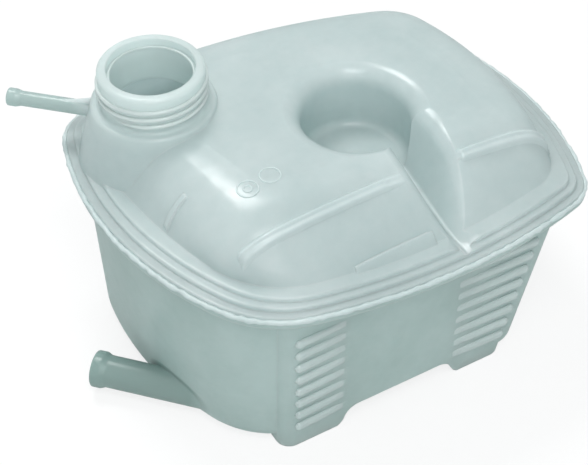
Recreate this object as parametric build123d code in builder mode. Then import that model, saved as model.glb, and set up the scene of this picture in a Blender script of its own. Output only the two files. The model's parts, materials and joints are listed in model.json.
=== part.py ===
"""Coolant expansion tank: a moulded cover welded to a moulded tub at a stepped flange.

Millimetres, +Z up. The origin is on the plane that the tub stands on, under the middle of the
part's box. The front, with the two ribbed pads, faces -Y, and the filler neck is at the back left.
"""

import os
from dataclasses import dataclass
from math import cos, radians, sin

from build123d import *

# Both mouldings
wall = 2.8
tub_height = 85.0  # standing plane to the underside of the tub's flange
flange_thickness = 3.0  # the tub's half of the flange
weld_z = tub_height + flange_thickness

# Flange outline in plan: four corners, joined by bowed edges
front_left = (-64.0, -78.7)
front_right = (101.6, -80.2)
back_right = (97.2, 63.3)
back_left = (-84.0, 81.8)
front_bow_radius = 290.0
right_bow_radius = 150.0
back_bow_radius = 290.0
left_bow_radius = 160.0
flange_corner_radii = (50.0, 18.0, 22.0, 25.0)

# Stepped rim of the cover
rim_steps = 3
rim_step_height = 2.1
rim_step_width = 2.7
rim_first_inset = 0.8
rim_edge_radius = 0.9

# Dome of the cover
dome_height = 30.0

# Round pocket in the dome, and the channel that leads from it to the front
pocket_x = 23.0
pocket_y = -6.7
pocket_radius = 25.0
pocket_depth = 31.0
pocket_lip_radius = 9.0
pocket_lip_angle = 75.0
pocket_lip_run = 13.5
pocket_floor_radius = 4.0
channel_depth = 27.0
channel_valley_radius = 1.5
channel_lip_radius = 9.0
channel_lip_drop = 1.0
channel_lip_run = 15.0
channel_lip_rise = 4.0
# Sections of the channel: ahead of the pocket's axis, right of it, the dome's fall there as a share of its
# height, and from the valley to the left lip and to the right lip
channel_sections = (
    (14.0, 13.0, 0.0, 11.0, 10.2),
    (34.0, 10.8, 0.023, 11.5, 11.8),
    (52.0, 8.6, 0.24, 9.0, 10.5),
    (68.0, 7.6, 0.69, 4.5, 6.5),
    (82.0, 7.8, 0.77, 3.0, 4.0),
)

# Low ribs that cross the dome, and a low pad on its front slope: x from, x to, y from, y to
dome_relief_rise = 0.7
dome_reliefs = (
    (-60.5, 9.0, -54.1, -51.3),
    (46.0, 102.0, -54.1, -51.3),
    (-76.5, -66.0, -14.1, -11.3),
    (-18.0, 21.0, -84.0, -73.2),
)

# Filler neck
neck_x = -54.0
neck_y = 40.9
neck_rise = 21.0  # from the dome's top to the neck's rim
neck_radius = 24.0
neck_bore_radius = 18.3
neck_seat_radius = 19.8
neck_seat_depth = 4.0
neck_rim_radius = 1.8
boss_ledge = 4.0  # the shelf round the neck's foot
boss_flare = 9.0  # from the shelf's edge out to the boss's foot
boss_rise = 2.5
boss_edge_radius = 1.7

# Vent spigot, pointing away from the neck's axis
vent_angle = 137.0
vent_drop = 9.0  # below the dome's top
vent_radius = 3.5
vent_bore_radius = 2.0
vent_reach = 70.0
vent_bead_radius = 4.2
vent_bead_length = 6.5

# Tub: the block with the flat front, and the arch that leaves two feet under it
tub_edge_radius = 8.0
tub_lift = 0.8  # how far the bowl hangs above the standing plane
tub_front_bow_radius = 2500.0
block_left_x = -55.8
block_front_y = -78.2
block_back_y = 45.3
block_top_right_x = 86.0
block_foot_right_x = 65.5
block_corner_radius = 7.0
arch_left_x = -31.0
arch_right_x = 43.0
arch_height = 10.0
arch_run = 15.0
arch_overrun = 1.0  # how far the arch's bends start below the standing plane

# Ribbed pads on the tub's front: bars that stand out at the outer end and fade to the middle
pad_bar_count = 8
pad_bar_pitch = 8.0
pad_bar_height = 3.4
pad_bar_rise = 1.2
pad_first_bar_z = 12.0
left_pad_ends = (-48.5, -22.0)
right_pad_ends = (60.0, 33.0)

# Outlet spigot of the tub
outlet_angle = 134.0
outlet_root = (-82.0, -29.7)
outlet_floor_gap = 0.6  # from the tub's floor up to the bore
outlet_radius = 7.7
outlet_bore_radius = 5.6
outlet_reach = 43.0
outlet_root_depth = 22.0
outlet_bead_radius = 8.75
outlet_bead_length = 7.0
bead_taper = 2.5  # length of the cone behind a bead
bead_rounding = 0.9  # of the bead's rise over its spigot

dome_top_z = weld_z + dome_height
neck_top_z = dome_top_z + neck_rise
boss_top_z = dome_top_z + boss_rise
boss_radius = neck_radius + boss_ledge
boss_foot_radius = boss_radius + boss_flare
cut_reach = back_right[0] - back_left[0]  # more than the flange's depth to either side


@dataclass(frozen=True)
class Level:
    """One level outline of a moulding: corners in plan, radii of its bowed edges and of its corners."""

    z: float
    corners: tuple
    bow_radii: tuple
    corner_radii: tuple


def level(z, front, right, back, left, corner_radii, front_bow=front_bow_radius, left_bow=left_bow_radius):
    """The flange outline at height z, each edge moved in by its own amount, the left by one at each end."""
    corners = (
        (front_left[0] + left[0], front_left[1] + front),
        (front_right[0] - right, front_right[1] + front),
        (back_right[0] - right, back_right[1] - back),
        (back_left[0] + left[1], back_left[1] - back),
    )
    return Level(z, corners, (front_bow, right_bow_radius, back_bow_radius, left_bow), corner_radii)


def outline(place, grow=0.0, lift=0.0):
    """The face of a level, grown all round and lifted."""
    ways = ((-grow, -grow), (grow, -grow), (grow, grow), (-grow, grow))
    corners = [(x + dx, y + dy) for (x, y), (dx, dy) in zip(place.corners, ways)]
    with BuildSketch(Plane.XY.offset(place.z + lift)) as sketch:
        with BuildLine():
            for i, radius in enumerate(place.bow_radii):
                RadiusArc(corners[i], corners[(i + 1) % 4], -radius - grow)
        make_face()
        for corner, radius in zip(corners, place.corner_radii):
            fillet(sketch.vertices().sort_by_distance(corner)[0], radius + grow)
    return sketch.sketch


def rim_level(inset):
    """The flange outline moved in by one amount all round."""
    radii = tuple(radius - inset for radius in flange_corner_radii)
    return level(weld_z, inset, inset, inset, (inset, inset), radii)


dome_levels = (
    level(weld_z, 6, 9, 5, (5, 5), (50, 20, 24, 28)),
    level(weld_z + 0.30 * dome_height, 16, 9.5, 6, (1, 6), (40, 20, 24, 27), left_bow=320),
    level(weld_z + 0.60 * dome_height, 25, 10.5, 8.5, (-1, 8.5), (28, 20, 24, 26), left_bow=900),
    level(weld_z + 0.83 * dome_height, 33, 13.5, 13, (7, 13), (25, 20, 24, 25), left_bow=900),
    level(weld_z + 0.96 * dome_height, 42, 20, 20, (16, 20), (22, 18, 22, 24), left_bow=900),
    level(weld_z + dome_height, 50, 28, 28, (26, 28), (20, 16, 20, 22), left_bow=900),
)
tub_top_level = level(weld_z, 2, 10, 9, (0.5, 3), (46, 16, 18, 45), front_bow=tub_front_bow_radius)
tub_foot_level = level(tub_lift, 2.5, 31, 13, (1.5, 5), (46, 14, 16, 42), front_bow=tub_front_bow_radius)


def upright_plane(x, y):
    """The plane across the front through (x, y), its own y axis up."""
    return Plane(origin=(x, y, 0), x_dir=(1, 0, 0), z_dir=(0, -1, 0))


def dome_form(grow):
    """The dome as a solid, its skin moved out by grow."""
    with BuildPart() as form:
        add(outline(dome_levels[0], grow))
        for place in dome_levels[1:]:
            add(outline(place, grow, lift=grow))
        loft()
    return form.part


def pocket_form(grow):
    """The pocket's space above its floor, its skin moved out by grow, up past the dome's top."""
    floor_z = dome_top_z - pocket_depth - grow
    radius = pocket_radius + grow
    corner = pocket_floor_radius + grow
    lip = pocket_lip_radius - grow
    lip_x = pocket_radius + pocket_lip_radius
    lip_z = dome_top_z - pocket_lip_radius
    turn = radians(pocket_lip_angle)
    end = Vector(lip_x - lip * cos(turn), lip_z + lip * sin(turn))
    past = end + Vector(sin(turn), cos(turn)) * pocket_lip_run
    with BuildPart() as form:
        with BuildSketch(upright_plane(pocket_x, pocket_y)):
            with BuildLine():
                Line((0, floor_z), (radius - corner, floor_z))
                RadiusArc((radius - corner, floor_z), (radius, floor_z + corner), -corner)
                Line((radius, floor_z + corner), (radius, lip_z))
                RadiusArc((radius, lip_z), end, lip)
                Line(end, past)
                Polyline(past, (0, past.Y), (0, floor_z))
            make_face()
        revolve(axis=Axis((pocket_x, pocket_y, 0), (0, 0, 1)))
    return form.part


def channel_form(grow):
    """The channel's space: a valley between two rounded lips, its skin moved out by grow."""
    valley_z = dome_top_z - channel_depth
    with BuildPart() as form:
        for ahead, across, fall, left, right in channel_sections:
            lip_z = dome_top_z - fall * dome_height - channel_lip_drop
            far_z = lip_z + channel_lip_rise
            with BuildSketch(upright_plane(pocket_x + across, pocket_y - ahead)) as section:
                with BuildLine():
                    Polyline(
                        (-left - channel_lip_run, far_z),
                        (-left, lip_z),
                        (0, valley_z),
                        (right, lip_z),
                        (right + channel_lip_run, far_z),
                        close=True,
                    )
                make_face()
                if grow:
                    offset(amount=grow, kind=Kind.INTERSECTION)
                fillet(section.vertices().sort_by(Axis.Y)[1:3], channel_lip_radius - grow)
                fillet(section.vertices().sort_by(Axis.Y)[0], channel_valley_radius)
        loft()
    return form.part


def neck_form():
    """The outside of the filler neck and the boss that it stands on."""
    with BuildPart() as form:
        with BuildSketch(upright_plane(neck_x, neck_y)) as profile:
            with BuildLine():
                Polyline(
                    (0, weld_z),
                    (boss_foot_radius, weld_z),
                    (boss_radius, boss_top_z),
                    (neck_radius, boss_top_z),
                    (neck_radius, neck_top_z),
                    (0, neck_top_z),
                    close=True,
                )
            make_face()
            fillet(profile.vertices().sort_by_distance((boss_radius, boss_top_z))[0], boss_edge_radius)
            fillet(profile.vertices().sort_by_distance((neck_radius, boss_top_z))[0], boss_edge_radius)
            fillet(profile.vertices().sort_by_distance((neck_radius, neck_top_z))[0], neck_rim_radius)
        revolve(axis=Axis((neck_x, neck_y, 0), (0, 0, 1)))
    return form.part


def neck_space():
    """The space inside the boss and the neck, open at the rim."""
    with BuildPart() as form:
        with BuildSketch(upright_plane(neck_x, neck_y)):
            with BuildLine():
                Polyline(
                    (0, weld_z),
                    (boss_foot_radius - wall, weld_z),
                    (boss_radius - wall, boss_top_z - wall),
                    (neck_bore_radius, boss_top_z - wall),
                    (neck_bore_radius, neck_top_z - neck_seat_depth),
                    (neck_seat_radius, neck_top_z - neck_seat_depth),
                    (neck_seat_radius, neck_top_z + wall),
                    (0, neck_top_z + wall),
                    close=True,
                )
            make_face()
        revolve(axis=Axis((neck_x, neck_y, 0), (0, 0, 1)))
    return form.part


@dataclass(frozen=True)
class Spigot:
    """A level hose spigot along its own axis, from root, inside a wall, to reach, where its bead is."""

    origin: tuple
    angle: float
    root: float
    reach: float
    radius: float
    bore_radius: float
    bead_radius: float
    bead_length: float

    def way(self):
        """The direction that the spigot points in."""
        return Vector(cos(radians(self.angle)), sin(radians(self.angle)), 0)

    def plane_across(self, along):
        """The plane across the spigot, so far along its axis."""
        return Plane(origin=self.origin, z_dir=self.way()).offset(along)

    def plane_along(self):
        """The upright plane through the axis, its own x axis up and its y axis along the spigot."""
        return Plane(origin=self.origin, x_dir=(0, 0, 1), z_dir=Vector(0, 0, 1).cross(self.way()))


vent = Spigot(
    (neck_x, neck_y, dome_top_z - vent_drop),
    vent_angle,
    neck_radius,
    vent_reach,
    vent_radius,
    vent_bore_radius,
    vent_bead_radius,
    vent_bead_length,
)
outlet = Spigot(
    (*outlet_root, tub_lift + wall + outlet_floor_gap + outlet_bore_radius),
    outlet_angle,
    -outlet_root_depth,
    outlet_reach,
    outlet_radius,
    outlet_bore_radius,
    outlet_bead_radius,
    outlet_bead_length,
)


def spigot_form(spigot):
    """The outside of a spigot, its bead tapered behind and rounded at the tip."""
    bead_from = spigot.reach - spigot.bead_length
    tip = (spigot.bead_radius, spigot.reach)
    tip_radius = bead_rounding * (spigot.bead_radius - spigot.radius)
    with BuildPart() as form:
        with BuildSketch(spigot.plane_along()) as profile:
            with BuildLine():
                Polyline(
                    (0, spigot.root),
                    (spigot.radius, spigot.root),
                    (spigot.radius, bead_from),
                    (spigot.bead_radius, bead_from + bead_taper),
                    tip,
                    (0, spigot.reach),
                    close=True,
                )
            make_face()
            fillet(profile.vertices().sort_by_distance(tip)[0], tip_radius)
        revolve(axis=Axis(spigot.origin, spigot.way()))
    return form.part


def bore_form(spigot):
    """The bore of a spigot, from wall behind its root to past its tip."""
    with BuildPart() as form:
        with BuildSketch(spigot.plane_across(spigot.root - 2 * wall)):
            Circle(spigot.bore_radius)
        extrude(amount=spigot.reach - spigot.root + 3 * wall)
    return form.part


def arch_form(grow):
    """The space of the arch under the tub, its skin moved out by grow."""
    rise = arch_height + arch_overrun
    bend = (arch_run**2 + rise**2) / (4 * rise)
    slope = Vector(arch_run, rise - 2 * bend) / (2 * bend)
    foot_z = grow - arch_overrun
    roof_z = grow + arch_height
    left_mid = Vector(arch_left_x, bend - arch_overrun) + slope * (bend - grow)
    right_mid = Vector(arch_right_x + arch_left_x - left_mid.X, left_mid.Y)
    left_roof = (arch_left_x + arch_run, roof_z)
    right_roof = (arch_right_x - arch_run, roof_z)
    with BuildPart() as form:
        with BuildSketch(Plane.XZ.offset(-cut_reach)):
            with BuildLine():
                RadiusArc((arch_left_x, foot_z), left_mid, -(bend - grow))
                RadiusArc(left_mid, left_roof, bend + grow)
                Line(left_roof, right_roof)
                RadiusArc(right_roof, right_mid, bend + grow)
                RadiusArc(right_mid, (arch_right_x, foot_z), -(bend - grow))
                right_leg = Line((arch_right_x, foot_z), (arch_right_x, -weld_z))
                left_leg = Line((arch_left_x, -weld_z), (arch_left_x, foot_z))
                Line(right_leg @ 1, left_leg @ 0)
            make_face()
        extrude(amount=2 * cut_reach)
    return form.part


def block_outline(z, right_x, grow):
    """The front block's face at height z, grown all round."""
    width = right_x - block_left_x
    depth = block_back_y - block_front_y
    with BuildSketch(Plane.XY.offset(z)) as sketch:
        with Locations((block_left_x + width / 2, block_front_y + depth / 2)):
            RectangleRounded(width + 2 * grow, depth + 2 * grow, block_corner_radius + grow)
    return sketch.sketch


def tub_form(grow):
    """The tub as a solid, its skin moved out by grow: a bowl, and a block with two feet at its front."""
    with BuildPart() as form:
        add(outline(tub_top_level, grow))
        add(outline(tub_foot_level, grow, lift=-grow))
        loft()
        fillet(form.faces().sort_by(Axis.Z)[0].edges(), tub_edge_radius + grow)
        add(block_outline(weld_z, block_top_right_x, grow))
        add(block_outline(-grow, block_foot_right_x, grow))
        loft()
        add(arch_form(-grow), mode=Mode.SUBTRACT)
    return form.part


def relief_form():
    """The dome's low ribs and pad, as slabs cut from the dome's skin moved out."""
    with BuildPart() as form:
        with BuildSketch(Plane.XY.offset(weld_z)):
            for x_from, x_to, y_from, y_to in dome_reliefs:
                with Locations(((x_from + x_to) / 2, (y_from + y_to) / 2)):
                    Rectangle(x_to - x_from, y_to - y_from)
        extrude(amount=2 * dome_height)
        add(dome_form(dome_relief_rise), mode=Mode.INTERSECT)
    return form.part


with BuildPart() as cover_space:
    add(dome_form(-wall))
    add(pocket_form(wall), mode=Mode.SUBTRACT)
    add(channel_form(wall), mode=Mode.SUBTRACT)
    add(neck_space())

with BuildPart() as upper_shell:
    for i in range(rim_steps):
        add(outline(rim_level(rim_first_inset + i * rim_step_width)))
        extrude(amount=(i + 1) * rim_step_height)
        fillet(upper_shell.faces().sort_by(Axis.Z)[-1].outer_wire().edges(), rim_edge_radius)
    add(dome_form(0))
    add(relief_form())
    with BuildSketch(Plane.XY.offset(dome_top_z - pocket_depth - wall)):
        with Locations((pocket_x, pocket_y)):
            Circle(pocket_radius + wall)
    extrude(amount=pocket_depth / 2)
    add(neck_form())
    add(spigot_form(vent))
    add(cover_space.part, mode=Mode.SUBTRACT)
    add(pocket_form(0), mode=Mode.SUBTRACT)
    add(channel_form(0), mode=Mode.SUBTRACT)
    add(bore_form(vent), mode=Mode.SUBTRACT)

with BuildPart() as lower_shell:
    add(tub_form(0))
    add(outline(rim_level(0), lift=-flange_thickness))
    extrude(amount=flange_thickness)
    add(spigot_form(outlet))
    for i in range(pad_bar_count):
        bar_z = pad_first_bar_z + i * pad_bar_pitch
        lean = (block_top_right_x - block_foot_right_x) * bar_z / weld_z
        for (outer_x, inner_x), shift in ((left_pad_ends, 0), (right_pad_ends, lean)):
            with BuildSketch(Plane.XY.offset(bar_z)):
                with BuildLine():
                    Polyline(
                        (outer_x + shift, block_front_y - pad_bar_rise),
                        (inner_x, block_front_y),
                        (inner_x, block_front_y + wall),
                        (outer_x + shift, block_front_y + wall),
                        close=True,
                    )
                make_face()
            extrude(amount=pad_bar_height)
    add(tub_form(-wall), mode=Mode.SUBTRACT)
    add(bore_form(outlet), mode=Mode.SUBTRACT)

os.makedirs("parts", exist_ok=True)
for name, piece in {"upper_shell": upper_shell, "lower_shell": lower_shell}.items():
    piece.part.label = name
    export_step(piece.part, f"parts/{name}.step")
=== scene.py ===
"""Dress the coolant expansion tank: milky polypropylene, neck thread, weld flash, studio and camera.

Metres and +Z up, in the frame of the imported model.
"""

import json
import logging
from collections import Counter
from dataclasses import dataclass, field, replace
from enum import Enum
from math import cos, pi, radians, sin, tau
from typing import Any

import bmesh
import bpy
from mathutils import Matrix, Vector, noise
from mathutils.bvhtree import BVHTree


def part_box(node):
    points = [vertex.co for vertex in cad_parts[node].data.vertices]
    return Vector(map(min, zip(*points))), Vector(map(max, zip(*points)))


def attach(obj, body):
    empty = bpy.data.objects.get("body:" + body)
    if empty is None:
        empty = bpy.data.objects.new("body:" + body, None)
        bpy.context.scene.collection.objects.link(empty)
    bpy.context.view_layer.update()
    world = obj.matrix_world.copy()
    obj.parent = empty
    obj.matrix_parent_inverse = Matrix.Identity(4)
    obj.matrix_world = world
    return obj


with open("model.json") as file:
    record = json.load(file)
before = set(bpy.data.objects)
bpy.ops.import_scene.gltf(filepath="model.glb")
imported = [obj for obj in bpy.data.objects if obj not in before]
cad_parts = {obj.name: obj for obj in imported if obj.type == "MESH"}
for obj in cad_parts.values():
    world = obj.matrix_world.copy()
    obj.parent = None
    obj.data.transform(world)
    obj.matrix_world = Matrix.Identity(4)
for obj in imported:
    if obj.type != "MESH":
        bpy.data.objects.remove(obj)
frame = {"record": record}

log = logging.getLogger("coolant_tank")

Socket = bpy.types.NodeSocket
Tree = bpy.types.NodeTree

MM = 0.001
BODY = "root"
COVER_NODE = "upper_shell"
TUB_NODE = "lower_shell"
UP = Vector((0.0, 0.0, 1.0))
TO_BACK = Vector((0.0, 1.0, 0.0))
RIGHT_WALL_LEAN = 20.5 / 88.0  # how far the tub's right wall leans out, for each height


class Slot(Enum):
    """The record's material slots."""

    COVER = "cover_plastic"
    TUB = "tub_plastic"


def linear(hex_colour: str) -> tuple[float, float, float, float]:
    """Turn an sRGB hex colour into linear RGBA.

    Args:
        hex_colour: Six hex digits after a hash sign.

    Returns:
        Linear red, green and blue, and an alpha of 1.
    """
    parts = [int(hex_colour[i : i + 2], 16) / 255 for i in (1, 3, 5)]
    values = [
        part / 12.92 if part <= 0.04045 else ((part + 0.055) / 1.055) ** 2.4
        for part in parts
    ]
    return (values[0], values[1], values[2], 1.0)


def add_node(
    tree: Tree, kind: str, links: dict[str | int, Any] | None = None, **settings: Any
) -> Any:
    """Add a shader node with its settings and links.

    Args:
        tree: The tree that takes the node.
        kind: The node's Blender type.
        links: Input name or number to a value, or to a socket that feeds it.
        settings: Attributes of the node itself.

    Returns:
        The new node.
    """
    node = tree.nodes.new(kind)
    for name, value in settings.items():
        setattr(node, name, value)
    for name, value in (links or {}).items():
        if isinstance(value, Socket):
            tree.links.new(value, node.inputs[name])
        else:
            node.inputs[name].default_value = value
    return node


def mount_facts(name: str) -> dict[str, Any]:
    """One of the record's mounts by its name."""
    return next(mount for mount in frame["record"]["mounts"] if mount["name"] == name)


def mount_place(name: str) -> Vector:
    """The place of one of the record's mounts."""
    return Vector(mount_facts(name)["pos_m"])


@dataclass(frozen=True)
class Pattern:
    """A soft random pattern whose features have one real size."""

    size_mm: float
    detail: float
    roughness: float = 0.5

    def inputs(self, place: Socket) -> dict[str | int, Any]:
        """What a noise node takes to draw the pattern over a place."""
        scale = 1 / (self.size_mm * MM)
        return {"Vector": place, "Scale": scale, "Detail": self.detail, "Roughness": self.roughness}


@dataclass(frozen=True)
class Relief:
    """A pattern that stands up from the skin."""

    pattern: Pattern
    strength: float
    height_mm: float


@dataclass(frozen=True)
class PaintedLightZone:
    """The length of a moulding round a mount, painted deeper or paler for the light its wall passes.

    A spigot's wall is thick for its width and passes less light, so its zone is painted shade. The neck
    is thin and open to light on every side, so its zone is painted light.
    """

    mount: str
    colour: str
    length: float  # back from the mount's place, along its axis
    radius: float  # out from the mount's axis
    blend: float = 6.0 * MM  # how far to each side of the zone's end the tones mix
    margin: float = 1.5 * MM  # how far past the radius the zone fades out

    def mask(self, tree: Tree, place: Socket) -> Socket:
        """Mark the zone on its moulding.

        Args:
            tree: The material's tree.
            place: Object coordinates.

        Returns:
            A socket that is 1 in the zone and 0 elsewhere.
        """
        facts = mount_facts(self.mount)
        ends = {0: place, 1: tuple(facts["pos_m"])}
        from_tip = add_node(tree, "ShaderNodeVectorMath", ends, operation="SUBTRACT")
        pair = {0: from_tip.outputs["Vector"], 1: tuple(facts["axis"])}
        along = add_node(tree, "ShaderNodeVectorMath", pair, operation="DOT_PRODUCT")
        aside = add_node(tree, "ShaderNodeVectorMath", pair, operation="CROSS_PRODUCT")
        turned = {0: aside.outputs["Vector"]}
        across = add_node(tree, "ShaderNodeVectorMath", turned, operation="LENGTH")
        past_root = add_node(
            tree,
            "ShaderNodeMapRange",
            {
                "Value": along.outputs["Value"],
                "From Min": -self.length - self.blend,
                "From Max": -self.length + self.blend,
            },
        )
        within = add_node(
            tree,
            "ShaderNodeMapRange",
            {
                "Value": across.outputs["Value"],
                "From Min": self.radius + self.margin,
                "From Max": self.radius,
            },
        )
        shares = {0: past_root.outputs["Result"], 1: within.outputs["Result"]}
        return add_node(tree, "ShaderNodeMath", shares, operation="MULTIPLY").outputs["Value"]


@dataclass(frozen=True)
class MilkyPolypropylene:
    """Natural polypropylene, injection moulded: a milky, slightly waxy skin that lets light soak in.

    It shows as a pale grey-green with soft broad highlights. Light that enters the thin wall comes
    out on the far side, so hollows stay light. Edges are painted paler than the flats: a painted
    highlight, for the light that leaves there.
    """

    name: str
    pale: str
    deep: str
    # edge is the tone of the painted highlight on edges
    edge: str
    roughness: float = 0.22
    roughness_spread: tuple[float, float] = (-0.02, 0.04)
    ior: float = 1.49
    gloss: float = 0.9
    passing: float = 0.52  # the share of light that goes on through the wall
    painted_light_zones: tuple[PaintedLightZone, ...] = ()
    soak_mm: float = 3.0
    soak_weight: float = 0.25
    soak_by_colour: tuple[float, float, float] = (1.0, 1.1, 1.08)
    cloud: Pattern = Pattern(38.0, detail=3.0, roughness=0.55)
    mottle: Pattern = Pattern(5.0, detail=2.0, roughness=0.6)
    mottle_share: float = 0.22
    deep_at: float = 0.34  # where the patterns' range reaches the deep tone
    pale_at: float = 0.64  # where it reaches the pale one
    ripple: Relief = Relief(Pattern(12.0, detail=1.0), strength=0.5, height_mm=0.5)
    # A mould's grain is finer than this. It is drawn as coarse as it needs to show.
    grain: Relief = Relief(Pattern(0.9, detail=1.0), strength=0.05, height_mm=0.06)
    soft_edge_mm: float = 1.3
    edge_samples: int = 6
    edge_highlight_turn: float = 0.86  # how far the rounded and true normals agree where the painted edge highlight is palest
    edge_highlight_share: float = 0.75  # how much of the painted edge highlight's tone shows there

    def tint(self, tree: Tree, place: Socket, soft: Socket) -> tuple[Socket, Socket]:
        """Colour the wall: a slow cloud, a finer mottle, painted edge highlights and painted light
        zones.

        Args:
            tree: The material's tree.
            place: Object coordinates.
            soft: The normal with its edges rounded.

        Returns:
            The colour socket, and the mottle's socket for the sheen.
        """
        cloud = add_node(tree, "ShaderNodeTexNoise", self.cloud.inputs(place))
        mottle = add_node(tree, "ShaderNodeTexNoise", self.mottle.inputs(place))
        depth = add_node(
            tree,
            "ShaderNodeMix",
            {"Factor": self.mottle_share, "A": cloud.outputs["Fac"], "B": mottle.outputs["Fac"]},
            data_type="FLOAT",
        )
        wall = add_node(tree, "ShaderNodeValToRGB", {"Fac": depth.outputs["Result"]})
        stops = ((self.deep_at, self.deep), (self.pale_at, self.pale))
        for element, (position, tone) in zip(wall.color_ramp.elements, stops):
            element.position = position
            element.color = linear(tone)
        # Painted highlight: the tone goes towards the edge colour where the rounded normal turns from
        # the true one.
        normals = {0: soft, 1: add_node(tree, "ShaderNodeNewGeometry").outputs["Normal"]}
        agree = add_node(tree, "ShaderNodeVectorMath", normals, operation="DOT_PRODUCT")
        painted_edge_highlight = add_node(
            tree,
            "ShaderNodeMapRange",
            {
                "Value": agree.outputs["Value"],
                "From Min": 1.0,
                "From Max": self.edge_highlight_turn,
                "To Max": self.edge_highlight_share,
            },
        )
        layers = [(painted_edge_highlight.outputs["Result"], self.edge)]
        layers += [(zone.mask(tree, place), zone.colour) for zone in self.painted_light_zones]
        colour = wall.outputs["Color"]
        for share, tone in layers:
            mix = {"Fac": share, "Color1": colour, "Color2": linear(tone)}
            colour = add_node(tree, "ShaderNodeMixRGB", mix).outputs["Color"]
        return colour, mottle.outputs["Fac"]

    def skin(self, tree: Tree, place: Socket, soft: Socket) -> Socket:
        """Shape the moulded skin: a slow ripple from cooling and a fine grain from the mould.

        Args:
            tree: The material's tree.
            place: Object coordinates.
            soft: The normal with its edges rounded.

        Returns:
            The normal's socket.
        """
        normal = soft
        for relief in (self.ripple, self.grain):
            height = add_node(tree, "ShaderNodeTexNoise", relief.pattern.inputs(place))
            bump = add_node(
                tree,
                "ShaderNodeBump",
                {
                    "Strength": relief.strength,
                    "Distance": relief.height_mm * MM,
                    "Height": height.outputs["Fac"],
                    "Normal": normal,
                },
            )
            normal = bump.outputs["Normal"]
        return normal

    def material(self) -> bpy.types.Material:
        """Build the material.

        Returns:
            A node material, ready for a piece.
        """
        material = bpy.data.materials.new(self.name)
        material.use_nodes = True
        tree = material.node_tree
        tree.nodes.clear()
        place = add_node(tree, "ShaderNodeTexCoord").outputs["Object"]
        rounding = {"Radius": self.soft_edge_mm * MM}
        soft = add_node(tree, "ShaderNodeBevel", rounding, samples=self.edge_samples).outputs["Normal"]
        colour, mottle = self.tint(tree, place, soft)
        least, most = (self.roughness + spread for spread in self.roughness_spread)
        sheen = add_node(tree, "ShaderNodeMapRange", {"Value": mottle, "To Min": least, "To Max": most})
        skin = self.skin(tree, place, soft)
        surface = add_node(
            tree,
            "ShaderNodeBsdfPrincipled",
            {
                "Base Color": colour,
                "Roughness": sheen.outputs["Result"],
                "IOR": self.ior,
                "Specular IOR Level": self.gloss,
                "Subsurface Weight": self.soak_weight,
                "Subsurface Radius": self.soak_by_colour,
                "Subsurface Scale": self.soak_mm * MM,
                "Normal": skin,
            },
        )
        through = add_node(tree, "ShaderNodeBsdfTranslucent", {"Color": colour, "Normal": skin})
        wall = add_node(
            tree,
            "ShaderNodeMixShader",
            {0: self.passing, 1: surface.outputs["BSDF"], 2: through.outputs["BSDF"]},
        )
        add_node(tree, "ShaderNodeOutputMaterial", {"Surface": wall.outputs["Shader"]})
        return material


# The cover's polypropylene: pale and glossy, with light coming up through it.
COVER_PLASTIC = MilkyPolypropylene(
    "milky_polypropylene_cover",
    pale="#E9F1F1",
    deep="#DEE9E9",
    edge="#F6FAFA",
    passing=0.58,
    # The vent's zone is painted shade and the neck's zone is painted light.
    painted_light_zones=(
        PaintedLightZone("vent", "#CDDCDA", length=34.0 * MM, radius=4.4 * MM),
        PaintedLightZone("neck", "#EDF6F5", length=7.0 * MM, radius=29.0 * MM, margin=5.0 * MM),
    ),
)
# The tub's polypropylene: the cover's plastic painted a deeper grey-green as painted shade, with duller
# and softer highlights.
SHADED_TUB_PLASTIC = MilkyPolypropylene(
    "milky_polypropylene_tub",
    pale="#D7E6E4",
    deep="#CADCD9",
    edge="#EEF5F3",
    roughness=0.32,
    # The outlet's zone is painted shade.
    painted_light_zones=(PaintedLightZone("outlet", "#A9C0BC", length=52.0 * MM, radius=8.9 * MM),),
)
# A bead that sits in a wall is solid plastic all the way down, so less light passes out of its back.
BEAD_PLASTIC = replace(
    COVER_PLASTIC,
    name="milky_polypropylene_bead",
    passing=0.4,
    soak_mm=0.6,
    soft_edge_mm=0.2,
    painted_light_zones=(),
)
# The thread stands in open light on the neck, so it is painted the palest: painted light.
THREAD_PLASTIC = replace(
    BEAD_PLASTIC, name="milky_polypropylene_thread", pale="#EEF5F4", deep="#E6EFEE"
)
# A ridge is low and takes on the look of the wall that it runs along.
RIDGE_PLASTIC = replace(BEAD_PLASTIC, name="milky_polypropylene_ridge", passing=0.5)
# A bar stands on the tub, so it is painted nearly as deep as the tub's painted shade.
BAR_PLASTIC = replace(
    BEAD_PLASTIC, name="milky_polypropylene_bar", pale="#DEE9E8", deep="#D2E0DF"
)
# Flash is squeezed out of the weld and sets with a torn skin, so it is duller.
FLASH_PLASTIC = replace(
    BEAD_PLASTIC, name="polypropylene_weld_flash", passing=0.46, roughness=0.36
)


class Skin:
    """The outside of a moulding, for seating small pieces on it."""

    clear: float = 10 * MM  # how far outside the moulding a line to it starts

    def __init__(self, node: str) -> None:
        """Read the moulding's faces once.

        Args:
            node: The moulding's node.
        """
        mesh = bpy.data.objects[node].data
        lowest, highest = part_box(node)
        self.node = node
        self.top = highest[2] + self.clear
        self.front = lowest[1] - self.clear
        self.faces = BVHTree.FromPolygons(
            [vertex.co for vertex in mesh.vertices],
            [polygon.vertices for polygon in mesh.polygons],
        )

    def below(self, x: float, y: float) -> Vector:
        """The highest point of the skin on the plumb line at x and y."""
        return self.cast(Vector((x, y, self.top)), -UP)[0]

    def cast(self, start: Vector, way: Vector) -> tuple[Vector, Vector]:
        """Find where a straight line first meets the skin.

        Args:
            start: A point outside the moulding.
            way: The line's direction.

        Returns:
            The point on the skin, and the skin's normal there.
        """
        seat, normal, _, _ = self.faces.ray_cast(start, way)
        if seat is None:
            raise ValueError(f"nothing of {self.node} on the line from {start}")
        return seat, normal


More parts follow.
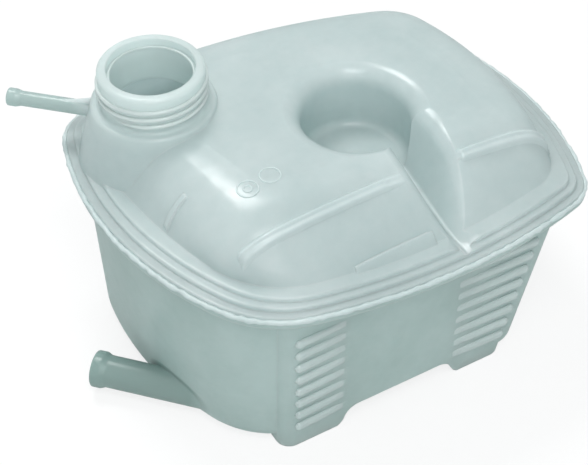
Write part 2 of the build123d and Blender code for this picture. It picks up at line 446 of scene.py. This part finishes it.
def dress(piece: bpy.types.Object, finish: MilkyPolypropylene) -> None:
    """Give a piece one finish all over."""
    piece.data.materials.clear()
    piece.data.materials.append(finish.material())


def new_piece(
    name: str, rings: list[list[Vector]], finish: MilkyPolypropylene, closed: bool
) -> bpy.types.Object:
    """Make a smooth closed piece through a row of rings, which rides on the tank.

    Args:
        name: The piece's name.
        rings: Sections along the piece, each with as many points.
        finish: Its finish.
        closed: Whether the last section joins the first, or both ends are capped.

    Returns:
        The new object, in the scene.
    """
    count, sides = len(rings), len(rings[0])
    faces: list[tuple[int, ...]] = []
    for i in range(count if closed else count - 1):
        a, b = sides * i, sides * ((i + 1) % count)
        faces += [(a + j, b + j, b + (j + 1) % sides, a + (j + 1) % sides) for j in range(sides)]
    if not closed:
        first_cap = tuple(range(sides))
        last_cap = tuple(range(sides * count - 1, sides * (count - 1) - 1, -1))
        faces += [first_cap, last_cap]
    mesh = bpy.data.meshes.new(name)
    mesh.from_pydata([tuple(point) for ring in rings for point in ring], [], faces)
    solid = bmesh.new()
    solid.from_mesh(mesh)
    bmesh.ops.recalc_face_normals(solid, faces=solid.faces)
    solid.to_mesh(mesh)
    solid.free()
    mesh.shade_smooth()
    piece = bpy.data.objects.new(name, mesh)
    bpy.context.scene.collection.objects.link(piece)
    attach(piece, BODY)
    dress(piece, finish)
    return piece


@dataclass
class Moulding:
    """One of the two mouldings, as the CAD gives it."""

    node: str
    finish: MilkyPolypropylene

    def build(self) -> bpy.types.Object:
        """Dress the moulding.

        Returns:
            The CAD node's object.
        """
        piece = bpy.data.objects[self.node]
        dress(piece, self.finish)
        return piece


@dataclass
class NeckThread:
    """The cap's thread: one ridge that winds up the outside of the filler neck."""

    finish: MilkyPolypropylene
    root_radius: float = 23.7 * MM
    crest_radius: float = 25.1 * MM
    root_width: float = 3.0 * MM
    crest_width: float = 1.1 * MM
    pitch: float = 3.9 * MM
    turns: float = 2.6
    below_rim: float = 15.0 * MM
    start_angle: float = radians(200)
    run_in: float = radians(35)
    steps_per_turn: int = 120

    def build(self) -> bpy.types.Object:
        """Build and dress the ridge.

        Returns:
            The thread's object.
        """
        axis_x, axis_y, _ = mount_place("neck")
        start_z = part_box(COVER_NODE)[1][2] - self.below_rim
        steps = int(self.turns * self.steps_per_turn)
        rings: list[list[Vector]] = []
        for i in range(steps + 1):
            turned = tau * self.turns * i / steps
            from_end = min(turned, tau * self.turns - turned)
            rise = min(1.0, from_end / self.run_in)
            crest = self.root_radius + (self.crest_radius - self.root_radius) * rise
            angle = self.start_angle + turned
            z = start_z + self.pitch * turned / tau
            section = (
                (self.root_radius, -self.root_width / 2),
                (crest, -self.crest_width / 2),
                (crest, self.crest_width / 2),
                (self.root_radius, self.root_width / 2),
            )
            ring = [
                Vector((axis_x + radius * cos(angle), axis_y + radius * sin(angle), z + lift))
                for radius, lift in section
            ]
            rings.append(ring)
        return new_piece("neck_thread", rings, self.finish, closed=False)


@dataclass
class DomeRidge:
    """A low double ridge over one of the dome's plain ribs, run out at both ends."""

    name: str
    x_from: float
    x_to: float
    rib_from: float
    rib_to: float
    finish: MilkyPolypropylene
    y: float = -52.7 * MM
    rib_rise: float = 0.7 * MM  # how high the plain rib stands under the ridge
    half_width: float = 3.2 * MM
    crest_offset: float = 1.35 * MM
    run_out: tuple[float, float] = (3.0 * MM, 3.0 * MM)
    crest_rise: float = 1.4 * MM
    valley_rise: float = 0.85 * MM
    sink: float = 0.3 * MM  # how deep the ridge's sides and ends go under the skin
    root_sinks: int = 4  # how many times as deep its hidden underside lies
    skirt_power: int = 6  # how late and sharply its sides turn down
    steps: int = 96
    across: int = 24

    def rise(self, offset: float) -> float:
        """How high the ridge stands over the dome.

        Args:
            offset: Distance from the ridge's middle line.

        Returns:
            The height over the dome's skin.
        """
        reach = abs(offset)
        if reach < self.crest_offset:
            share = 0.5 - 0.5 * cos(pi * reach / self.crest_offset)
            return self.valley_rise + (self.crest_rise - self.valley_rise) * share
        share = (reach - self.crest_offset) / (self.half_width - self.crest_offset)
        return self.crest_rise * (0.5 + 0.5 * cos(pi * share))

    def build(self, skin: Skin) -> bpy.types.Object:
        """Lay the ridge on the dome and dress it.

        Args:
            skin: The cover's outside.

        Returns:
            The ridge's object.
        """
        rings: list[list[Vector]] = []
        for i in range(self.steps + 1):
            x = self.x_from + (self.x_to - self.x_from) * i / self.steps
            over = [Vector((x, self.y + side * self.half_width, skin.top)) for side in (-1, 0, 1)]
            seats = [skin.cast(point, -UP) for point in over]
            (front, front_out), (middle, _), (back, back_out) = seats
            out = (front_out + back_out).normalized()
            if self.rib_from < x < self.rib_to:
                middle = middle - out * self.rib_rise
            from_end = min((x - self.x_from) / self.run_out[0], (self.x_to - x) / self.run_out[1])
            fade = 0.5 - 0.5 * cos(pi * min(1.0, from_end))
            ring: list[Vector] = []
            for j in range(self.across + 1):
                # The ridge stands on a parabola through the three seats.
                s = 2 * j / self.across - 1
                base = front * (s * (s - 1) / 2) + middle * (1 - s**2) + back * (s * (s + 1) / 2)
                skirt = self.sink * (s**self.skirt_power + 1 - fade)
                ring.append(base + out * (fade * self.rise(s * self.half_width) - skirt))
            root = out * self.root_sinks * self.sink
            rings.append(ring + [back - root, front - root])
        return new_piece(self.name, rings, self.finish, closed=False)


@dataclass
class RibbedPad:
    """One ribbed pad of the tub's front: rounded bars over the moulding's plain ones."""

    name: str
    outer_x: float
    inner_x: float
    finish: MilkyPolypropylene
    lean: float = 0.0
    count: int = 8
    pitch: float = 8.0 * MM
    first_z: float = 12.0 * MM
    plain_height: float = 3.4 * MM
    plain_rise: float = 1.2 * MM
    half_height: float = 2.6 * MM
    cover: float = 0.7 * MM  # how far a rounded bar stands over its plain one
    overhang: float = 1.3 * MM  # how far it reaches past the plain one's outer end
    end_round: float = 2.3 * MM
    end_least: float = 0.05  # keeps the outer end from closing to a point
    run_out: float = 12.0 * MM
    settle: float = 4.0 * MM  # the inner end's length that goes down into the wall
    sink: float = 0.4 * MM
    crown_power: int = 4  # how flat the bar's front is
    crowding: float = 1.6  # how far the sections crowd towards the outer end
    steps: int = 40
    around: int = 14

    def bar(self, skin: Skin, number: int) -> list[list[Vector]]:
        """Work out one bar's sections, from its outer end to where it runs out.

        Args:
            skin: The tub's outside.
            number: The bar's number from the foot.

        Returns:
            The sections' points.
        """
        foot_z = self.first_z + number * self.pitch
        middle_z = foot_z + self.plain_height / 2
        outer_x = self.outer_x + self.lean * foot_z
        inward = 1.0 if self.inner_x > outer_x else -1.0
        length = abs(self.inner_x - outer_x) + self.overhang
        ahead = Vector((self.inner_x + inward * self.overhang, skin.front, middle_z))
        wall_y = skin.cast(ahead, TO_BACK)[0].y
        rings: list[list[Vector]] = []
        for i in range(self.steps + 1):
            along = length * (i / self.steps) ** self.crowding
            x = outer_x + inward * (along - self.overhang)
            plain = self.plain_rise * min(1.0, (length - along) / (length - self.overhang))
            end = (1 - (1 - min(1.0, along / self.end_round)) ** 2) ** 0.5
            fade = min(1.0, (length - along) / self.run_out)
            settled = 1 - min(1.0, (length - along) / self.settle)
            height = end * (plain + self.cover * fade) - self.sink * settled
            half = max(end, self.end_least) * self.half_height
            ring: list[Vector] = []
            for j in range(self.around + 1):
                s = 2 * j / self.around - 1
                y = wall_y + self.sink - (height + self.sink) * (1 - s**self.crown_power)
                ring.append(Vector((x, y, middle_z + s * half)))
            rings.append(ring)
        return rings

    def build(self, skin: Skin) -> list[bpy.types.Object]:
        """Build and dress every bar.

        Args:
            skin: The tub's outside.

        Returns:
            The bars' objects.
        """
        return [
            new_piece(f"{self.name}_{i + 1}", self.bar(skin, i), self.finish, closed=False)
            for i in range(self.count)
        ]


@dataclass
class RaisedRing:
    """A plain raised ring on the cover: a mould insert's mark, or the bead on the neck's seat."""

    name: str
    middle: tuple[float, float]
    finish: MilkyPolypropylene
    radius: float = 4.6 * MM
    bead: float = 0.5 * MM
    steps: int = 72
    sides: int = 10

    def build(self, skin: Skin) -> bpy.types.Object:
        """Lay the ring on the cover, half sunk, and dress it.

        Args:
            skin: The cover's outside.

        Returns:
            The ring's object.
        """
        x, y = self.middle
        turns = [tau * j / self.sides for j in range(self.sides)]
        rings: list[list[Vector]] = []
        for i in range(self.steps):
            angle = tau * i / self.steps
            out = Vector((cos(angle), sin(angle), 0.0))
            seat = skin.below(x + self.radius * out.x, y + self.radius * out.y)
            rings.append([seat + (out * cos(turn) + UP * sin(turn)) * self.bead for turn in turns])
        return new_piece(self.name, rings, self.finish, closed=True)


@dataclass
class VentGusset:
    """The small web that stands on the vent spigot and stiffens its root against the boss."""

    finish: MilkyPolypropylene
    inner_reach: float = 27.0 * MM
    outer_reach: float = 45.0 * MM
    spigot_radius: float = 3.5 * MM
    height: float = 4.2 * MM
    half_width: float = 1.1 * MM
    shoulder_share: float = 0.6  # how far out on the width the rounded crest has its shoulder
    shoulder_drop: float = 0.3  # how far down on the round the shoulder lies
    sink: float = 1.2 * MM
    steps: int = 24

    def build(self) -> bpy.types.Object:
        """Build and dress the web.

        Returns:
            The web's object.
        """
        axis, tip = mount_place("neck"), mount_place("vent")
        way = Vector((tip.x - axis.x, tip.y - axis.y, 0.0)).normalized()
        side = way.cross(UP) * self.half_width
        foot = Vector((axis.x, axis.y, tip.z + self.spigot_radius - self.sink))
        rings: list[list[Vector]] = []
        for i in range(self.steps + 1):
            share = i / self.steps
            at = foot + way * (self.inner_reach + (self.outer_reach - self.inner_reach) * share)
            crest = self.sink + self.height * (1 - sin(share * pi / 2))
            low = crest - min(crest, self.half_width)
            shoulder = UP * (crest - self.shoulder_drop * (crest - low))
            ring = [
                at - side,
                at - side + UP * low,
                at - side * self.shoulder_share + shoulder,
                at + UP * crest,
                at + side * self.shoulder_share + shoulder,
                at + side + UP * low,
                at + side,
            ]
            rings.append(ring)
        return new_piece("vent_gusset", rings, self.finish, closed=False)


@dataclass
class WeldFlash:
    """The thin uneven bead that the hot-plate weld squeezes out along the flange's edge."""

    finish: MilkyPolypropylene
    radius: float = 1.1 * MM
    lift: float = 0.35 * MM
    stray: float = 0.38 * MM  # how far the bead wanders from the edge
    swell: float = 0.35  # how much its radius varies
    inset: float = 0.35  # how far its middle lies inside the edge, in radii
    wave: float = 3.0 * MM  # the length of its wandering
    seed: int = 11
    steps: int = 960
    sides: int = 8
    level_slack: float = 0.01 * MM  # how far apart levels and corners still count as one

    def loops(self) -> list[list[Vector]]:
        """Trace the edges of the tub's flat top.

        Returns:
            Each closed edge as its points in order.
        """
        mesh = bpy.data.objects[TUB_NODE].data
        weld_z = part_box(TUB_NODE)[1][2]
        places: dict[tuple[int, int], Vector] = {}
        uses: Counter[frozenset[tuple[int, int]]] = Counter()
        for polygon in mesh.polygons:
            corners = [mesh.vertices[i].co for i in polygon.vertices]
            if any(abs(corner.z - weld_z) > self.level_slack for corner in corners):
                continue
            flat = [corner.xy / self.level_slack for corner in corners]
            keys = [(round(place.x), round(place.y)) for place in flat]
            places.update({key: corner.copy() for key, corner in zip(keys, corners)})
            sides = zip(keys, keys[1:] + keys[:1])
            uses.update(frozenset(pair) for pair in sides if pair[0] != pair[1])
        beside: dict[tuple[int, int], list[tuple[int, int]]] = {}
        for span, count in uses.items():
            if count == 1:
                one, other = sorted(span)
                beside.setdefault(one, []).append(other)
                beside.setdefault(other, []).append(one)
        found: list[list[Vector]] = []
        left = set(beside)
        while left:
            at: tuple[int, int] | None = min(left)
            walk: list[Vector] = []
            while at is not None:
                left.discard(at)
                walk.append(places[at])
                at = next((key for key in beside[at] if key in left), None)
            found.append(walk)
        return found

    def edge(self) -> list[Vector]:
        """Take the flange's outer edge and space its points evenly.

        Returns:
            Points round the edge, in order.
        """
        outer = max(
            self.loops(), key=lambda walk: sum((a - b).length for a, b in zip(walk, walk[1:]))
        )
        spans = [(outer[(i + 1) % len(outer)] - outer[i]).length for i in range(len(outer))]
        total = sum(spans)
        even: list[Vector] = []
        at, passed = 0, 0.0
        for step in range(self.steps):
            want = total * step / self.steps
            while passed + spans[at] < want:
                passed += spans[at]
                at += 1
            share = (want - passed) / spans[at]
            even.append(outer[at].lerp(outer[(at + 1) % len(outer)], share))
        return even

    def build(self) -> bpy.types.Object:
        """Build and dress the bead.

        Returns:
            The bead's object.
        """
        noise.seed_set(self.seed)
        path = self.edge()
        count = len(path)
        turns = [tau * j / self.sides for j in range(self.sides)]
        rings: list[list[Vector]] = []
        for i, middle in enumerate(path):
            ahead = (path[(i + 1) % count] - path[i - 1]).normalized()
            out = Vector((ahead.y, -ahead.x, 0.0))
            if out.dot(middle) < 0:
                out.negate()
            sway = noise.noise_vector(middle / self.wave)
            thick = self.radius * (1.0 + self.swell * sway.z)
            centre = middle + out * (self.stray * sway.x - self.inset * self.radius)
            centre += UP * (self.lift + self.stray * sway.y)
            rings.append([centre + (out * cos(turn) + UP * sin(turn)) * thick for turn in turns])
        return new_piece("weld_flash", rings, self.finish, closed=True)


@dataclass(frozen=True)
class Softbox:
    """A square lamp that faces the tank."""

    name: str
    way: tuple[float, float, float]
    away: float
    side: float
    watts: float

    def hang(self, target: Vector) -> None:
        """Hang the lamp.

        Args:
            target: The place that the lamp faces.
        """
        way = Vector(self.way)
        lamp = bpy.data.lights.new(self.name, "AREA")
        lamp.shape = "SQUARE"
        lamp.size = self.side
        lamp.energy = self.watts
        softbox = bpy.data.objects.new(self.name, lamp)
        softbox.location = target + way.normalized() * self.away
        softbox.rotation_euler = way.to_track_quat("Z", "Y").to_euler()
        bpy.context.scene.collection.objects.link(softbox)


@dataclass
class Studio:
    """The pale floor, soft light and the photograph's camera."""

    image_size: tuple[int, int] = (588, 465)
    focal_px: float = 1500.0
    target: Vector = field(default_factory=lambda: Vector((-24.0, -32.7, 85.0)) * MM)
    azimuth: float = radians(-30)
    elevation: float = radians(45)
    distance: float = 0.66
    sensor_mm: float = 36.0
    nearest: float = 0.01
    floor_side: float = 6.0
    floor_colour: str = "#F4F5F5"
    floor_white: float = 0.8  # how much of the floor's tone is plain white where it is seen
    room_colour: str = "#EDF2F3"
    room_level: float = 0.54
    white: str = "#FFFFFF"
    softboxes: tuple[Softbox, ...] = (
        Softbox("back_left_softbox", way=(0.0, 0.46, 0.84), away=1.1, side=0.32, watts=5.5),
        Softbox("top_softbox", way=(-0.12, -0.4, 1.0), away=1.4, side=0.55, watts=7.6),
        Softbox("front_fill_softbox", way=(-0.3, -0.66, 0.5), away=1.3, side=0.7, watts=3.4),
    )

    def seen_directly(self, tree: Tree) -> Socket:
        """Tell what is seen, straight, mirrored or through glass, from what only lights the tank.

        Args:
            tree: The floor's or the world's tree.

        Returns:
            A socket that is 1 for what is seen and 0 for soft light.
        """
        path = add_node(tree, "ShaderNodeLightPath").outputs
        kinds = {0: path["Is Glossy Ray"], 1: path["Is Transmission Ray"]}
        shown = add_node(tree, "ShaderNodeMath", kinds, operation="MAXIMUM")
        either = {0: path["Is Camera Ray"], 1: shown.outputs[0]}
        seen = add_node(tree, "ShaderNodeMath", either, operation="MAXIMUM")
        sharp = {0: seen.outputs[0], 1: path["Is Diffuse Ray"]}
        return add_node(
            tree, "ShaderNodeMath", sharp, operation="SUBTRACT", use_clamp=True
        ).outputs[0]

    def floor_material(self) -> bpy.types.Material:
        """Build the floor's paper: matt and nearly white, so that only the tank's shadow shows.

        Returns:
            A node material, ready for the floor.
        """
        material = bpy.data.materials.new("pale_paper_floor")
        material.use_nodes = True
        tree = material.node_tree
        tree.nodes.clear()
        paper = add_node(tree, "ShaderNodeBsdfDiffuse", {"Color": linear(self.floor_colour)})
        white = add_node(tree, "ShaderNodeEmission", {"Color": linear(self.white), "Strength": 1.0})
        parts = {0: self.seen_directly(tree), 1: self.floor_white}
        share = add_node(tree, "ShaderNodeMath", parts, operation="MULTIPLY")
        mix = add_node(
            tree,
            "ShaderNodeMixShader",
            {0: share.outputs[0], 1: paper.outputs["BSDF"], 2: white.outputs["Emission"]},
        )
        add_node(tree, "ShaderNodeOutputMaterial", {"Surface": mix.outputs["Shader"]})
        return material

    def build_floor(self) -> None:
        """Lay the floor."""
        half = self.floor_side / 2
        corners = [(-half, -half, 0), (half, -half, 0), (half, half, 0), (-half, half, 0)]
        mesh = bpy.data.meshes.new("floor")
        mesh.from_pydata(corners, [], [(0, 1, 2, 3)])
        mesh.materials.append(self.floor_material())
        floor = bpy.data.objects.new("floor", mesh)
        bpy.context.scene.collection.objects.link(floor)

    def build_world(self) -> None:
        """Light the room softly, and show white where nothing stands."""
        world = bpy.data.worlds.new("studio")
        bpy.context.scene.world = world
        world.use_nodes = True
        tree = world.node_tree
        tree.nodes.clear()
        soft = {"Color": linear(self.room_colour), "Strength": self.room_level}
        room = add_node(tree, "ShaderNodeBackground", soft)
        plain = {"Color": linear(self.white), "Strength": 1.0}
        white = add_node(tree, "ShaderNodeBackground", plain)
        seen = self.seen_directly(tree)
        mix = add_node(
            tree,
            "ShaderNodeMixShader",
            {0: seen, 1: room.outputs["Background"], 2: white.outputs["Background"]},
        )
        add_node(tree, "ShaderNodeOutputWorld", {"Surface": mix.outputs["Shader"]})

    def build_camera(self) -> None:
        """Put the camera where the photograph was taken from."""
        flat = cos(self.elevation)
        back = Vector((sin(self.azimuth) * flat, -cos(self.azimuth) * flat, sin(self.elevation)))
        lens = bpy.data.cameras.new("camera")
        lens.sensor_fit = "HORIZONTAL"
        lens.sensor_width = self.sensor_mm
        lens.lens = self.focal_px * self.sensor_mm / self.image_size[0]
        lens.clip_start = self.nearest
        camera = bpy.data.objects.new("camera", lens)
        camera.location = self.target + back * self.distance
        camera.rotation_euler = back.to_track_quat("Z", "Y").to_euler()
        bpy.context.scene.collection.objects.link(camera)
        bpy.context.scene.camera = camera

    def build(self) -> None:
        """Build the whole studio."""
        self.build_floor()
        self.build_world()
        for softbox in self.softboxes:
            softbox.hang(self.target)
        self.build_camera()
        bpy.context.scene.view_settings.view_transform = "Standard"


def main() -> None:
    """Dress the mouldings, add their fine pieces, build the studio and report each piece."""
    logging.basicConfig(level=logging.INFO, format="%(name)s: %(message)s")
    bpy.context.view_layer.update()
    cover_skin = Skin(COVER_NODE)
    tub_skin = Skin(TUB_NODE)
    pieces = [
        Moulding(COVER_NODE, COVER_PLASTIC).build(),
        Moulding(TUB_NODE, SHADED_TUB_PLASTIC).build(),
        NeckThread(THREAD_PLASTIC).build(),
        VentGusset(BEAD_PLASTIC).build(),
        WeldFlash(FLASH_PLASTIC).build(),
    ]
    ridges = (
        DomeRidge(
            "dome_ridge_left",
            x_from=-61.9 * MM,
            x_to=23.0 * MM,
            rib_from=-60.5 * MM,
            rib_to=9.0 * MM,
            finish=RIDGE_PLASTIC,
            run_out=(1.8 * MM, 13.0 * MM),
        ),
        DomeRidge(
            "dome_ridge_right",
            x_from=46.0 * MM,
            x_to=98.0 * MM,
            rib_from=46.0 * MM,
            rib_to=102.0 * MM,
            finish=RIDGE_PLASTIC,
        ),
    )
    pieces += [ridge.build(cover_skin) for ridge in ridges]
    pads = (
        RibbedPad("left_pad_bar", outer_x=-48.5 * MM, inner_x=-22.0 * MM, finish=BAR_PLASTIC),
        RibbedPad(
            "right_pad_bar",
            outer_x=60.0 * MM,
            inner_x=33.0 * MM,
            finish=BAR_PLASTIC,
            lean=RIGHT_WALL_LEAN,
        ),
    )
    pieces += [bar for pad in pads for bar in pad.build(tub_skin)]
    left_roundel = (-44.0 * MM, -28.3 * MM)
    right_roundel = (-32.0 * MM, -26.1 * MM)
    neck_x, neck_y, _ = mount_facts("neck")["pos_m"]
    rings = (
        RaisedRing("mould_roundel_left", left_roundel, RIDGE_PLASTIC),
        RaisedRing("mould_roundel_left_pin", left_roundel, RIDGE_PLASTIC, radius=1.9 * MM),
        RaisedRing("mould_roundel_right", right_roundel, RIDGE_PLASTIC),
        RaisedRing("neck_seat_bead", (neck_x, neck_y), THREAD_PLASTIC, radius=18.9 * MM),
    )
    pieces += [ring.build(cover_skin) for ring in rings]
    for piece in pieces:
        log.info("built %s with %d faces", piece.name, len(piece.data.polygons))
    Studio().build()
    log.info("built studio")


if __name__ == "__main__":
    main()
